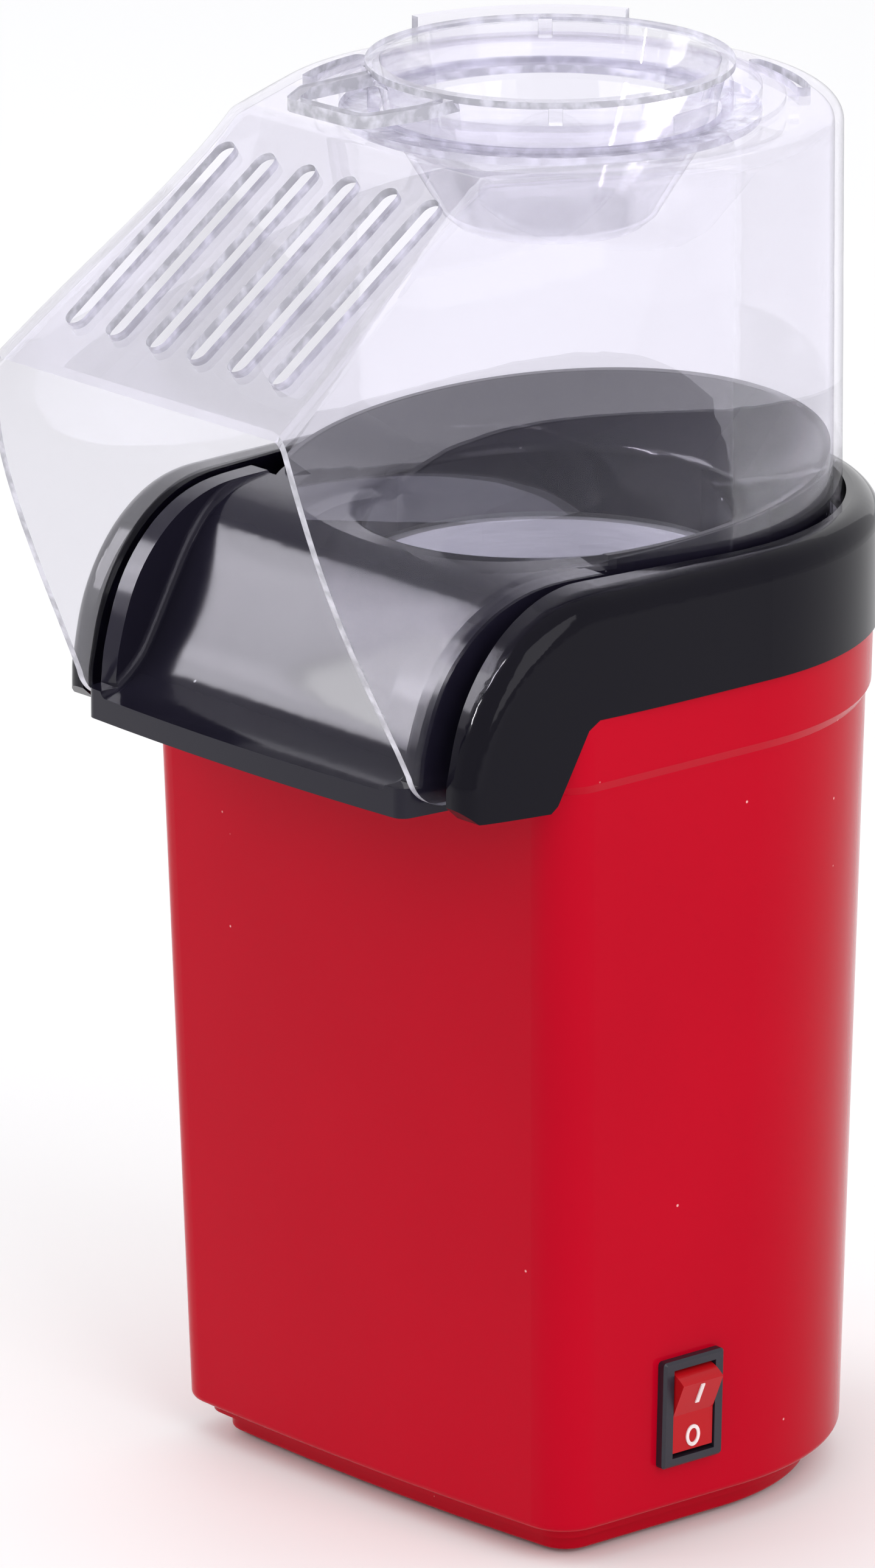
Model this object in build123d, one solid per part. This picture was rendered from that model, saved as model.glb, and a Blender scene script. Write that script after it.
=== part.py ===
from build123d import *
import math
import os

# Hot-air popcorn maker, millimetres. Z is up, the chute faces -Y, and the origin is
# on the floor, on the axis of the popping chamber, the hood and the motor.

# ---- driving dimensions -------------------------------------------------------------
FLOOR_GAP = 1.0            # air gap under the plinth, held by the feet
SHELL_Z0 = 7.0             # bottom edge of the red shell
SHELL_Z1 = 165.5           # top edge of the red shell at its sides and back
SHELL_W = 59.6             # half width of the shell at its top
SHELL_D = 49.8             # from the axis to the shell's front face at its top
SHELL_CORNER = 8.5         # radius of the front corners
FRONT_BULGE = 1.9          # how far the front face bows out
DRAFT = 0.0268             # half width lost per millimetre of height, going down
WALL = 2.4                 # thickness of the shell's wall
BAND_Z0 = 151.5            # soft step under the shell's raised upper band
BAND_Z1 = 153.3
BAND_RISE = 1.0
APRON_Z = 149.6            # top of the shell's front wall and underside of the chute

COLLAR_R = 61.7            # outer radius of the black top housing
COLLAR_TOP = 189.2
COLLAR_FRONT = 70.6        # reach of its two cheeks in front of the axis
COLLAR_OPEN_R = 55.3       # radius of the opening that takes the hood
CHEEK_GAP_X = 51.3         # inner face of the two cheeks
CREST_FILLET = 5.0         # rounding of the ring's and cheeks' outer crest

HOOD_R = 54.6              # outer radius of the clear hood
HOOD_T = 1.7               # its wall
HOOD_TOP = 264.0
HOOD_BOTTOM = 182.6
SLOPE_TOP_Y = -46.1        # where the sloped front leaves the flat top
SLOPE_END_Y = -100.1       # front edge of the slope
SLOPE_END_Z = 225.9
HOOD_DRAFT = 0.0035        # hood radius lost per millimetre of height, going up

NECK_R = 39.2              # raised ring that holds the measuring cup
NECK_TOP = 267.0
NECK_BORE_R = 33.9
CUP_R = 33.0               # measuring cup, outside, just under the rim
CUP_RIM_R = 34.3
CUP_TOP = 271.5
CUP_BOTTOM_Z = 240.5
CUP_BOTTOM_R = 20.0
CUP_T = 1.3

DECK_R = 52.3              # round deck under the hood
HOLE_R = 36.2              # hole in the deck, over the popping chamber
DECK_Z = 185.2             # height where the dish would end, just inside the hole
DECK_FLANGE_Z0 = 178.5
DECK_FLANGE_Z1 = 181.8
RIM_Z = 193.4              # mean height of the deck's rim
RIM_TILT = 6.7             # degrees, the rim rises to the back
BORE_FILLET = 2.2          # soft edge of the hole
CHEEK_T = 4.2              # thickness of the chute's own cheeks
FLOOR_SHEET = 3.6          # the chute floor's thickness, measured straight down
CORNER_FILLET = 1.5        # between the chute floor and its cheeks
CHEEK_TOE_Z = 155.3        # top of the cheeks' short toes beside the lip
CHUTE_FRONT = 75.4
CHUTE_BULGE = 1.5

CHAMBER_R = 35.0           # inside radius of the aluminium popping chamber
CHAMBER_T = 0.8
CHAMBER_Z0 = 112.0
CHAMBER_Z1 = 173.2
HEATER_R = 42.5            # inside radius of the sheet-steel heater can
HEATER_Z0 = 84.6
HEATER_Z1 = 166.0

FAN_Z0 = 58.0              # fan housing, floor to top
FAN_Z1 = 84.0
FAN_R = 41.0
FAN_T = 1.8
IMPELLER_R = 34.0
MOTOR_R = 13.8
MOTOR_Z0 = 27.0
MOTOR_Z1 = 57.6
SHAFT_R = 1.0

SWITCH_Y = -14.9           # centre of the rocker switch on the right-hand wall
SWITCH_Z = 26.2
BEZEL_H = 21.0
BEZEL_W = 15.0
BEZEL_T = 2.0
WINDOW_H = 17.4
WINDOW_W = 10.4
ROCKER_TILT = 11.0         # degrees each side of level

CORD_Z = 24.0              # cord bush in the back wall
CORD_HOLE_R = 3.6
BUSH_R = 6.0

FOOT_R = 5.0
FOOT_XY = [(34.0, -28.0), (-34.0, -28.0), (30.0, 28.0), (-30.0, 28.0)]
PILLAR_XY = [(36.0 * math.cos(math.radians(a)), 36.0 * math.sin(math.radians(a)))
             for a in (45, 135, 225, 315)]

os.makedirs("parts", exist_ok=True)


# ---- helpers ------------------------------------------------------------------------
def ring(r_out, r_in, z0, z1):
    """A plain round ring or tube."""
    height = z1 - z0
    body = Pos(0, 0, z0) * extrude(Circle(r_out), height)
    return body - Pos(0, 0, z0 - 1) * extrude(Circle(r_in), height + 2)


def rod(r, z0, z1, x=0.0, y=0.0):
    return Pos(x, y, z0) * extrude(Circle(r), z1 - z0)


def slab(x0, x1, y0, y1, z0, z1):
    return Pos(x0, y0, z0) * Box(x1 - x0, y1 - y0, z1 - z0, align=(Align.MIN,) * 3)


def side_prism(profile, half_width):
    """A closed (y, z) outline pushed both ways along X."""
    wire = Wire([Line(a, b) for a, b in zip(profile, profile[1:] + profile[:1])])
    face = Plane.YZ * make_face(wire)
    return extrude(face, half_width, both=True)


def side_face_prism(edges, half_width):
    """A closed (y, z) outline of lines and curves pushed both ways along X."""
    return extrude(Plane.YZ * make_face(Wire(edges)), half_width, both=True)


def revolved(profile):
    """A closed (radius, z) outline turned about Z."""
    wire = Wire([Line(a, b) for a, b in zip(profile, profile[1:] + profile[:1])])
    return revolve(Plane.XZ * make_face(wire), Axis.Z)


def group(solids):
    """Identical separate solids kept together in one node."""
    return Compound(children=[s for item in solids for s in item.solids()])


# ---- the shell's D-shaped plan ------------------------------------------------------
def d_face(inset, corner, z):
    """The shell's plan at a height, moved inward by inset."""
    shrink = DRAFT * (SHELL_Z1 - z)
    w = SHELL_W - shrink - inset
    d = SHELL_D - shrink - inset
    edges = [
        ThreePointArc((w, 0), (0, w), (-w, 0)),
        Line((-w, 0), (-w, -d)),
        ThreePointArc((-w, -d), (0, -d - FRONT_BULGE), (w, -d)),
        Line((w, -d), (w, 0)),
    ]
    face = make_face(Wire(edges))
    corners = face.vertices().filter_by(lambda v: v.Y < -d / 2)
    return Pos(0, 0, z) * fillet(corners, corner)


def d_body(stations, corner):
    """A straight-sided body through (inset, z) stations."""
    return loft([d_face(inset, corner, z) for inset, z in stations], ruled=True)


# ---- red shell, base plate and feet -------------------------------------------------
STEP_DOWN = [(-41.5, SHELL_Z1), (-44.0, SHELL_Z1 - 1.6), (-51.0, APRON_Z + 1.2), (-52.5, APRON_Z)]


def shell_top_cut():
    """Space above the shell's stepped top edge, at the sides and at the front."""
    corners = side_prism(STEP_DOWN + [(-75, APRON_Z), (-75, 200), (-41.5, 200)], 70)
    front_x = CHEEK_GAP_X - 1.0
    return corners + slab(-front_x, front_x, -75, -38, APRON_Z, 200)


def make_body_shell():
    outer = d_body([(0, SHELL_Z0), (0, BAND_Z0), (-BAND_RISE, BAND_Z1), (-BAND_RISE, SHELL_Z1)],
                   SHELL_CORNER)
    outer = fillet(outer.faces().sort_by(Axis.Z)[0].edges(), 1.3)
    inner = d_body([(WALL, SHELL_Z0 - 1), (WALL, SHELL_Z1 + 1)], SHELL_CORNER - WALL)
    shell = outer - inner - shell_top_cut()
    shell += lugs_for_housing()
    shell -= switch_cutout()
    shell -= Pos(0, 0, CORD_Z) * Rot(-90, 0, 0) * extrude(Circle(BUSH_R - 1.0), 80)
    return shell


def shell_half_width(z):
    return SHELL_W - DRAFT * (SHELL_Z1 - z)


LUG_XY = [(48.2, -18.0), (-48.2, -18.0), (35.6, 35.6), (-35.6, 35.6)]
LUG_Z0 = 144.0
LUG_Z1 = 147.0


def lugs_for_housing():
    """Four shelves inside the shell, each drilled for a housing screw."""
    inner = d_body([(WALL - 0.6, LUG_Z0 - 2), (WALL - 0.6, LUG_Z1 + 2)], SHELL_CORNER - WALL)
    lugs = []
    for x, y in LUG_XY:
        reach = 12.0
        angle = math.degrees(math.atan2(y, x)) if y > 0 else (0.0 if x > 0 else 180.0)
        arm = Rot(0, 0, angle) * slab(-4, reach, -4.5, 4.5, LUG_Z0, LUG_Z1)
        lug = (Pos(x, y, 0) * arm) & inner
        lugs.append(lug - rod(1.7, LUG_Z0 - 1, LUG_Z1 + 1, x, y))
    result = lugs[0]
    for lug in lugs[1:]:
        result += lug
    return result


BASE_STEP_Z = 4.6          # the plinth is stepped at this height
BASE_SKIRT_Z = 14.0        # top of the skirt that plugs into the shell
FLOOR_T = 2.4


def make_base_plate():
    plinth = d_body([(6.0, FLOOR_GAP), (6.0, BASE_STEP_Z)], 6.0)
    plinth = fillet(plinth.faces().sort_by(Axis.Z)[0].edges(), 0.8)
    step = d_body([(3.6, BASE_STEP_Z), (3.6, SHELL_Z0 + 0.6)], 6.0)
    plug = d_body([(WALL + 0.15, SHELL_Z0 + 0.6), (WALL + 0.15, BASE_SKIRT_Z)], 6.0)
    hollow = d_body([(8.4, FLOOR_GAP + FLOOR_T), (8.4, BASE_STEP_Z + 2)], 4.0)
    hollow += d_body([(5.0, BASE_STEP_Z + 2), (5.0, BASE_SKIRT_Z + 1)], 4.0)
    plate = plinth + step + plug - hollow
    floor = FLOOR_GAP + FLOOR_T
    for x, y in PILLAR_XY:
        plate += rod(4.0, floor - 1, FAN_Z0, x, y)
    for x, y in FOOT_XY:
        plate += rod(FOOT_R + 1.5, floor - 1, floor + 1.5, x, y)
    for x, y in FOOT_XY:
        plate -= rod(FOOT_R + 0.02, FLOOR_GAP - 1, FLOOR_GAP + 1.6, x, y)
    for x, y in PILLAR_XY:
        plate -= rod(1.2, FAN_Z0 - 12, FAN_Z0 + 1, x, y)
    return plate - intake_slots()


def intake_slots():
    """Air intake under the motor: five rows of slots either side of a rib."""
    slots = None
    for row in range(-3, 4):
        half = 24.0 - 2.2 * abs(row)
        for side in (-1, 1):
            mid = side * (half / 2 + 1.5)
            slot = Pos(mid, row * 6.4, FLOOR_GAP - 1) * extrude(SlotOverall(half, 3.0), FLOOR_T + 3)
            slots = slot if slots is None else slots + slot
    return slots


def make_rubber_feet():
    return group([rod(FOOT_R, 0.0, FLOOR_GAP + 1.6, x, y) for x, y in FOOT_XY])


# ---- black top housing --------------------------------------------------------------
HOOD_SIDE_ANGLE = 6.0      # the hood's side walls converge to the front by this angle
HOOD_TOP_ANGLE = 29.5      # and by this angle at its flat top
TURN_IN_Z = 185.0          # they start to turn in further here
COS_A = math.cos(math.radians(HOOD_SIDE_ANGLE))
SIN_A = math.sin(math.radians(HOOD_SIDE_ANGLE))


def housing_plan(grow):
    """Outer plan of the top housing, open end to the front."""
    r = COLLAR_R + grow
    front = COLLAR_FRONT + grow
    nose = 56.8 + grow
    edges = [
        ThreePointArc((r, 0), (0, r), (-r, 0)),
        Spline((-r, 0), (-r + 0.5, -34), (-nose - 2.2, -front + 12), (-nose, -front),
               tangents=[(0, -1), (0.25, -1)]),
        Line((-nose, -front), (nose, -front)),
        Spline((nose, -front), (nose + 2.2, -front + 12), (r - 0.5, -34), (r, 0),
               tangents=[(0.25, 1), (0, 1)]),
    ]
    return make_face(Wire(edges))


def hood_gap_plan(r, gap_x, front):
    """Plan of the space the hood slides into: round at the back, narrowing in front."""
    meet = (r - gap_x * COS_A) / SIN_A
    tangent = (r * COS_A, -r * SIN_A)
    edges = [
        ThreePointArc(tangent, (0, r), (-tangent[0], tangent[1])),
        Line((-tangent[0], tangent[1]), (-gap_x, -meet)),
        Line((-gap_x, -meet), (-gap_x, -front)),
        Line((-gap_x, -front), (gap_x, -front)),
        Line((gap_x, -front), (gap_x, -meet)),
        Line((gap_x, -meet), tangent),
    ]
    return make_face(Wire(edges))


def housing_side_view():
    """Side view of the housing: level ring, cheeks that roll down to the front."""
    edges = [
        Line((70, COLLAR_TOP), (-38, COLLAR_TOP)),
        Spline((-38, COLLAR_TOP), (-47.5, 187.8), (-54.0, 184.7), (-60.0, 179.8), (-65.0, 173.2),
               (-68.6, 164.8), (-70.2, 158.0), (-COLLAR_FRONT, 152.5), tangents=[(-1, 0), (0, -1)]),
        Line((-COLLAR_FRONT, 152.5), (-67.8, 150.0)),
        Line((-67.8, 150.0), STEP_DOWN[3]),
        Line(STEP_DOWN[3], STEP_DOWN[2]),
        Line(STEP_DOWN[2], STEP_DOWN[1]),
        Line(STEP_DOWN[1], STEP_DOWN[0]),
        Line(STEP_DOWN[0], (70, SHELL_Z1)),
        Line((70, SHELL_Z1), (70, COLLAR_TOP)),
    ]
    return side_face_prism(edges, 80)


def make_top_housing():
    block = Pos(0, 0, 140) * extrude(housing_plan(0.0), 60)
    block = block & housing_side_view()
    opening = Pos(0, 0, 130) * extrude(hood_gap_plan(COLLAR_OPEN_R, CHEEK_GAP_X, 90.0), 80)
    block -= opening
    block = soften_housing(block)
    block -= shell_socket()
    # tongue inside the shell, whose top is the ledge that carries the deck
    tongue = ring(COLLAR_OPEN_R + 1.4, COLLAR_OPEN_R - 2.4, 152.0, DECK_FLANGE_Z0)
    back_only = slab(-70, 70, -28, 70, 140, 200)
    block += tongue & back_only
    for x, y in LUG_XY:
        boss = rod(4.2, LUG_Z1 + 0.1, 160, x, y)
        block += boss + link_to_tongue(x, y)
        block -= rod(1.3, LUG_Z1 - 1, 157, x, y)
    return block


def link_to_tongue(x, y):
    """Short web from a screw boss out to the tongue."""
    angle = math.degrees(math.atan2(y, x))
    web = Rot(0, 0, angle) * slab(0, 12, -2.0, 2.0, 153.0, 160.0)
    return (Pos(x, y, 0) * web) & ring(COLLAR_OPEN_R, 20, 150, 162)


def soften_housing(block):
    """Round the upper outer edge of the ring and cheeks."""
    def outer_crest(edge):
        mid = edge.position_at(0.5)
        from_axis = math.hypot(mid.X, mid.Y) if mid.Y > 0 else abs(mid.X)
        return mid.Z > 168 and from_axis > CHEEK_GAP_X + 6 and edge.length > 30
    return fillet(block.edges().filter_by(outer_crest), CREST_FILLET)


def shell_socket():
    """The housing's cheeks end flush on the shell, so nothing dips inside its wall."""
    return d_body([(-BAND_RISE, 130), (-BAND_RISE, APRON_Z + 0.4)], SHELL_CORNER)


# ---- black deck and chute -----------------------------------------------------------
def chute_floor():
    """The chute floor in side view: a roll over the ridge, a steep run, a flat lip."""
    return Spline((-26.0, 188.6), (-34.0, 188.3), (-41.0, 187.3), (-46.5, 184.6), (-51.5, 179.6),
                  (-56.0, 172.9), (-61.0, 165.0), (-66.0, 158.7), (-71.0, 155.4), (-80.0, 153.7),
                  tangents=[(-1, 0), (-1, -0.1)])


def cheek_plan(inset):
    """Plan between the cheeks: their outer faces moved inward by inset."""
    back, front = -24.0, -90.0
    xb, xf = cheek_outer_x(back) - inset, cheek_outer_x(front) - inset
    return make_face(Polyline((xb, back), (-xb, back), (-xf, front), (xf, front), close=True))


def chute_cutter(inset, drop):
    """Space above the chute's floor, or, with drop, above a surface under it."""
    floor = chute_floor()
    start = floor @ 0
    end = floor @ 1
    edges = [
        floor,
        Line(end, (end.X, 215)),
        Line((end.X, 215), (start.X, 215)),
        Line((start.X, 215), start),
    ]
    above = Pos(0, 0, -drop) * side_face_prism(edges, 80)
    return above & (Pos(0, 0, 130) * extrude(cheek_plan(inset), 100))


def cheek_outer_x(y):
    """Outer face of the inner cheeks: parallel to the hood's wall, just inside it."""
    return (HOOD_R - HOOD_T - 0.75 - abs(y) * SIN_A) / COS_A


def cheek_block():
    back, front = -31.0, -CHUTE_FRONT
    xb, xf = cheek_outer_x(back), cheek_outer_x(front)
    edges = [
        Line((xb, back), (-xb, back)),
        Line((-xb, back), (-xf, front)),
        ThreePointArc((-xf, front), (0, front - CHUTE_BULGE), (xf, front)),
        Line((xf, front), (xb, back)),
    ]
    plan = make_face(Wire(edges))
    plan = fillet(plan.vertices().filter_by(lambda v: v.Y < -60), 2.5)
    block = Pos(0, 0, APRON_Z) * extrude(plan, 50)
    crest = [
        Line((-20, 188.9), (-36, 188.9)),
        Spline((-36, 188.9), (-45.5, 188.3), (-52.0, 186.4), (-58.0, 183.0), (-63.5, 177.8),
               (-67.6, 171.2), (-70.4, 163.0), (-71.6, CHEEK_TOE_Z), tangents=[(-1, 0), (-0.1, -1)]),
        Line((-71.6, CHEEK_TOE_Z), (-80, CHEEK_TOE_Z)),
        Line((-80, CHEEK_TOE_Z), (-80, APRON_Z - 1)),
        Line((-80, APRON_Z - 1), (-20, APRON_Z - 1)),
        Line((-20, APRON_Z - 1), (-20, 188.9)),
    ]
    return block & side_face_prism(crest, 80)


def rim_plane(lift=0.0):
    """The tilted plane of the deck's rim."""
    return Pos(0, 0, RIM_Z + lift) * Rot(RIM_TILT, 0, 0)


def dish_cutter():
    """The dished deck: it falls from its tilted rim to the edge of the hole."""
    low = Pos(0, 0, DECK_Z) * Circle(HOLE_R - 3.0)
    high = rim_plane() * Circle(DECK_R - 1.2)
    bowl = loft([low, high])
    return bowl + extrude(rim_plane() * Circle(DECK_R - 1.2), 30, dir=(0, 0, 1))


def make_chute():
    deck = rod(DECK_R, 166.0, 204.0)
    deck -= extrude(rim_plane(0.2) * Rectangle(150, 150), 40, dir=(0, 0, 1))
    body = deck + cheek_block()
    body -= dish_cutter()
    body -= rod(HOLE_R, 140, 220)
    body = soften_bore(body)
    body -= chute_cutter(CHEEK_T, 0.0)
    body = soften_chute(body)
    flange = ring(COLLAR_OPEN_R - 0.15, DECK_R - 1, DECK_FLANGE_Z0 + 0.05, DECK_FLANGE_Z1)
    body += flange & slab(-60, 60, -30, 60, 170, 190)
    # hollows underneath
    under = ring(DECK_R - 2.4, HOLE_R + 2.4, 140, 181.6) & slab(-60, 60, -33, 60, 140, 190)
    well = slab(-60, 60, -72.0, -HOLE_R - 1.2, 140, 200)
    well = well & (Pos(0, 0, 130) * extrude(cheek_plan(CHEEK_T), 100))
    below = well - chute_cutter(0.0, FLOOR_SHEET)
    body = body - under - below
    body -= rod(HEATER_R + 2.2, 140, CHAMBER_Z1 + 1.2)
    return body


def soften_bore(body):
    """Round the edge where the dish turns down into the hole."""
    def hole_edge(edge):
        points = [edge.position_at(t) for t in (0.0, 0.3, 0.7)]
        return all(abs(math.hypot(p.X, p.Y) - HOLE_R) < 0.05 and p.Z > DECK_Z - 2 for p in points)
    return fillet(body.edges().filter_by(hole_edge), BORE_FILLET)


def soften_chute(body):
    """Fillet the two corners between the chute's floor and its cheeks."""
    corners = [e for e in body.edges() if e.length > 25 and e.center().Y < -45
               and e.center().Z < 180 and abs(e.center().X) < cheek_outer_x(-45) - CHEEK_T + 1
               and abs(e.center().X) > 30]
    return fillet(corners, CORNER_FILLET)


# ---- clear hood ---------------------------------------------------------------------
def hood_angle(z):
    """How far the side walls turn in at a height, degrees."""
    rise = max(0.0, (z - TURN_IN_Z) / (HOOD_TOP - TURN_IN_Z))
    return HOOD_SIDE_ANGLE + (HOOD_TOP_ANGLE - HOOD_SIDE_ANGLE) * rise ** 3.5


def hood_section(z, inset, front):
    """Plan of the hood at a height, before its front is cut."""
    r = HOOD_R - inset - HOOD_DRAFT * (z - HOOD_BOTTOM)
    a = math.radians(hood_angle(z))
    tangent = (r * math.cos(a), -r * math.sin(a))
    x_front = (r - front * math.sin(a)) / math.cos(a)
    edges = [
        ThreePointArc(tangent, (0, r), (-tangent[0], tangent[1])),
        Line((-tangent[0], tangent[1]), (-x_front, -front)),
        Line((-x_front, -front), (x_front, -front)),
        Line((x_front, -front), tangent),
    ]
    return Pos(0, 0, z) * make_face(Wire(edges))


SLOPE_ANGLE = math.atan2(HOOD_TOP - SLOPE_END_Z, SLOPE_TOP_Y - SLOPE_END_Y)


def hood_side_view(inset, front_open):
    """Side view of the hood: flat top, sloped front, open mouth and skirt."""
    top = HOOD_TOP - inset
    # the sloped plane, moved inward by inset
    shift = inset / math.cos(SLOPE_ANGLE)

    def slope_z(y):
        return SLOPE_END_Z + (y - SLOPE_END_Y) * math.tan(SLOPE_ANGLE) - shift

    y_top = SLOPE_END_Y + (top + shift - SLOPE_END_Z) / math.tan(SLOPE_ANGLE)
    if front_open:
        return side_prism([(80, top), (y_top, top), (-104.0, slope_z(-104.0)), (-104.0, 130),
                           (80, 130)], 80)
    mouth = Spline((SLOPE_END_Y, SLOPE_END_Z), (-96.2, 205.5), (-91.1, 191.5), (-86.0, 180.0),
                   (-80.4, 168.5), (-75.4, 158.0))
    heel = ThreePointArc((-75.4, 158.0), (-72.4, 153.4), (-67.6, 151.8))
    edges = [
        Line((80, top), (y_top, top)),
        Line((y_top, top), (SLOPE_END_Y, SLOPE_END_Z)),
        mouth,
        heel,
        Line((-67.6, 151.8), (-63.5, 151.8)),
        Spline((-63.5, 151.8), (-56.0, 156.5), (-48.0, 170.5), (-38.0, HOOD_BOTTOM),
               tangents=[(1, 0), (1, 0)]),
        Line((-38.0, HOOD_BOTTOM), (80, HOOD_BOTTOM)),
        Line((80, HOOD_BOTTOM), (80, top)),
    ]
    return side_face_prism(edges, 80)


HOOD_STATIONS = (148.0, 185.0, 215.0, 238.0, 252.0, HOOD_TOP)
HOOD_SOFT = 4.2            # outside radius of its soft edges
SLOT_COUNT = 6             # steam slots in the slope
SLOT_PITCH = 11.4
SLOT_W = 4.6
SLOT_LENGTH = 47.8
SLOT_MID_Y = -72.8


def hood_form(inset, radius):
    """The hood as a solid block, with soft edges round its top and down its slope."""
    block = loft([hood_section(z, inset, 104.0) for z in HOOD_STATIONS])
    block = block & hood_side_view(inset, True)

    def soft(edge):
        mid = edge.center()
        on_top = abs(mid.Z - HOOD_TOP + inset) < 0.2
        beside_slope = mid.Z > 228 and mid.Y < SLOPE_TOP_Y - 5 and abs(mid.X) > 20
        return on_top or beside_slope
    return fillet(block.edges().filter_by(soft), radius)


def make_hood():
    outer = hood_form(0.0, HOOD_SOFT) & hood_side_view(0.0, False)
    hood = outer - hood_form(HOOD_T, HOOD_SOFT - HOOD_T)
    hood += ring(43.6, 30, HOOD_TOP - 1, HOOD_TOP + 1.2)
    hood += ring(NECK_R, NECK_BORE_R - 2.2, HOOD_TOP - HOOD_T - 1.5, NECK_TOP)
    fence = ring(42.4, 40.5, HOOD_TOP - 0.5, 271.3)
    hood += fence & wedge(118, 176, 60, HOOD_TOP - 1, 275)
    hood -= rod(NECK_BORE_R, HOOD_TOP - HOOD_T, HOOD_TOP + 20)
    hood -= rod(NECK_BORE_R - 2.2, HOOD_TOP - 20, HOOD_TOP + 20)
    for start, end in ((59, 85), (187, 208)):
        hood -= arc_slot(start, end, 47.8, 2.6)
    for i in range(SLOT_COUNT):
        hood -= slope_slot((i - (SLOT_COUNT - 1) / 2) * SLOT_PITCH)
    hood += Rot(0, 0, 47.4) * slab(43.9, 46.0, -1.6, 1.6, HOOD_TOP - 0.5, HOOD_TOP + 1.1)
    return hood


def wedge(a0, a1, r, z0, z1):
    """A pie slice between two angles in degrees."""
    steps = 8
    pts = [(0, 0)] + [(r * 1.1 * math.cos(math.radians(a0 + (a1 - a0) * i / steps)),
                       r * 1.1 * math.sin(math.radians(a0 + (a1 - a0) * i / steps)))
                      for i in range(steps + 1)]
    return Pos(0, 0, z0) * extrude(make_face(Polyline(pts, close=True)), z1 - z0)


def arc_slot(a0, a1, r, width):
    """Curved vent slot through the hood's flat top, with round ends."""
    z0, z1 = HOOD_TOP - 5, HOOD_TOP + 2
    slot = ring(r + width / 2, r - width / 2, z0, z1) & wedge(a0, a1, r + 5, z0, z1)
    for a in (a0, a1):
        slot += rod(width / 2, z0, z1, r * math.cos(math.radians(a)), r * math.sin(math.radians(a)))
    return slot


def slope_slot(x):
    """One long steam slot through the sloped front."""
    mid_z = SLOPE_END_Z + (SLOT_MID_Y - SLOPE_END_Y) * math.tan(SLOPE_ANGLE)
    slot = Rot(0, 0, 90) * SlotOverall(SLOT_LENGTH, SLOT_W)
    cutter = extrude(slot, 4, both=True)
    return Pos(x, SLOT_MID_Y, mid_z) * Rot(math.degrees(SLOPE_ANGLE), 0, 0) * cutter


# ---- measuring cup ------------------------------------------------------------------
def make_measuring_cup():
    z_seat = NECK_TOP + 0.3
    outer = [(0, CUP_BOTTOM_Z), (CUP_BOTTOM_R - 2.5, CUP_BOTTOM_Z), (CUP_BOTTOM_R, CUP_BOTTOM_Z + 2.0),
             (30.6, HOOD_TOP - HOOD_T - 2.4), (31.2, HOOD_TOP), (CUP_R, CUP_TOP - 1.3),
             (CUP_RIM_R, CUP_TOP - 1.3), (CUP_RIM_R, CUP_TOP),
             (CUP_R - CUP_T, CUP_TOP), (31.2 - CUP_T, HOOD_TOP), (30.6 - CUP_T, HOOD_TOP - HOOD_T - 2.0),
             (CUP_BOTTOM_R - 1.0, CUP_BOTTOM_Z + 2.2), (CUP_BOTTOM_R - 2.8, CUP_BOTTOM_Z + CUP_T),
             (0, CUP_BOTTOM_Z + CUP_T)]
    cup = revolved(outer)
    cup += cup_handle()
    for angle in (20, 140, 230, 320):
        cup += Rot(0, 0, angle) * slab(CUP_R - 1.2, CUP_R + 1.9, -1.3, 1.3, z_seat, CUP_TOP - 1.0)
    return cup


def cup_handle():
    """Flat looped handle, reaching out over the hood's sloped front."""
    outline = [(-17.4, -27.5), (-16.8, -46.5), (-11.5, -54.8), (9.0, -54.2), (11.0, -40.0), (10.0, -31.0)]
    outer = make_face(Polyline(outline, close=True))
    outer = fillet(outer.vertices().filter_by(lambda v: v.Y < -35), 4.0)
    inner = offset(outer, -2.4)
    loop = extrude(outer, 2.4) - extrude(Pos(0, 0, -1) * inner, 5)
    loop = Pos(0, 0, CUP_TOP - 3.2) * loop
    return loop - rod(CUP_R - 0.6, CUP_TOP - 10, CUP_TOP + 1)


# ---- rocker switch ------------------------------------------------------------------
def switch_place():
    """Switch frame: local X out of the wall, local Z up, origin on the wall's face."""
    x = shell_half_width(SWITCH_Z)
    return Pos(x, SWITCH_Y, SWITCH_Z) * Rot(0, math.degrees(math.atan(DRAFT)), 0)


SWITCH_BOX_H = 18.9
SWITCH_BOX_W = 12.6
SWITCH_BOX_D = 13.0
PIVOT_U = -1.2             # rocker's pin, inward of the wall's face
ROCKER_END_R = 8.35
ROCKER_W = 9.9
PIN_R = 0.9


def switch_cutout():
    return switch_place() * Box(20, SWITCH_BOX_W + 0.2, SWITCH_BOX_H + 0.2)


def make_switch_bezel():
    """Frame on the outside and the box behind it, open towards the rocker."""
    plate = extrude(Plane.YZ * RectangleRounded(BEZEL_W, BEZEL_H, 0.8), BEZEL_T)
    plate = chamfer(plate.faces().sort_by(Axis.X)[-1].edges(), 0.5)
    box = Pos(-SWITCH_BOX_D / 2, 0, 0) * Box(SWITCH_BOX_D, SWITCH_BOX_W, SWITCH_BOX_H)
    body = plate + box
    body -= Pos(-2.6, 0, 0) * Box(13.0, WINDOW_W, WINDOW_H)
    for side in (-1, 1):
        socket = Cylinder(PIN_R + 0.04, 1.1)
        body -= Pos(PIVOT_U, side * (WINDOW_W / 2 + 0.35), 0) * Rot(90, 0, 0) * socket
    return switch_place() * body


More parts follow.
